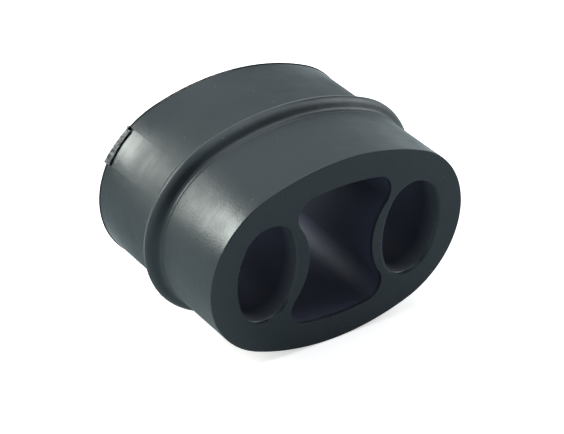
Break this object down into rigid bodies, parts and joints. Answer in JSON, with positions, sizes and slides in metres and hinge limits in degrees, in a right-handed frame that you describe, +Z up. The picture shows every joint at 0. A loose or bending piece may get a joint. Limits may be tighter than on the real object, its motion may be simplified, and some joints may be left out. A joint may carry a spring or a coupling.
{
  "type": "rubber transmission mount",
  "caption": "Oval moulded rubber mount with two upright bores, an hourglass cavity between two thin webs, and a rib round its outer skin.",
  "frame": {"origin": "middle of the block, halfway between the two flat faces", "axes": "+X along the oval's long axis, +Y through the block from the front face to the back face along the bores, +Z up across the oval"},
  "size_m": [0.0664, 0.0408, 0.0472],
  "materials": {
    "black_rubber": "satin moulded rubber, faintly blue-green black"
  },
  "bodies": {
    "root": {"rubber_mount": "black_rubber"}
  },
  "joints": []
}
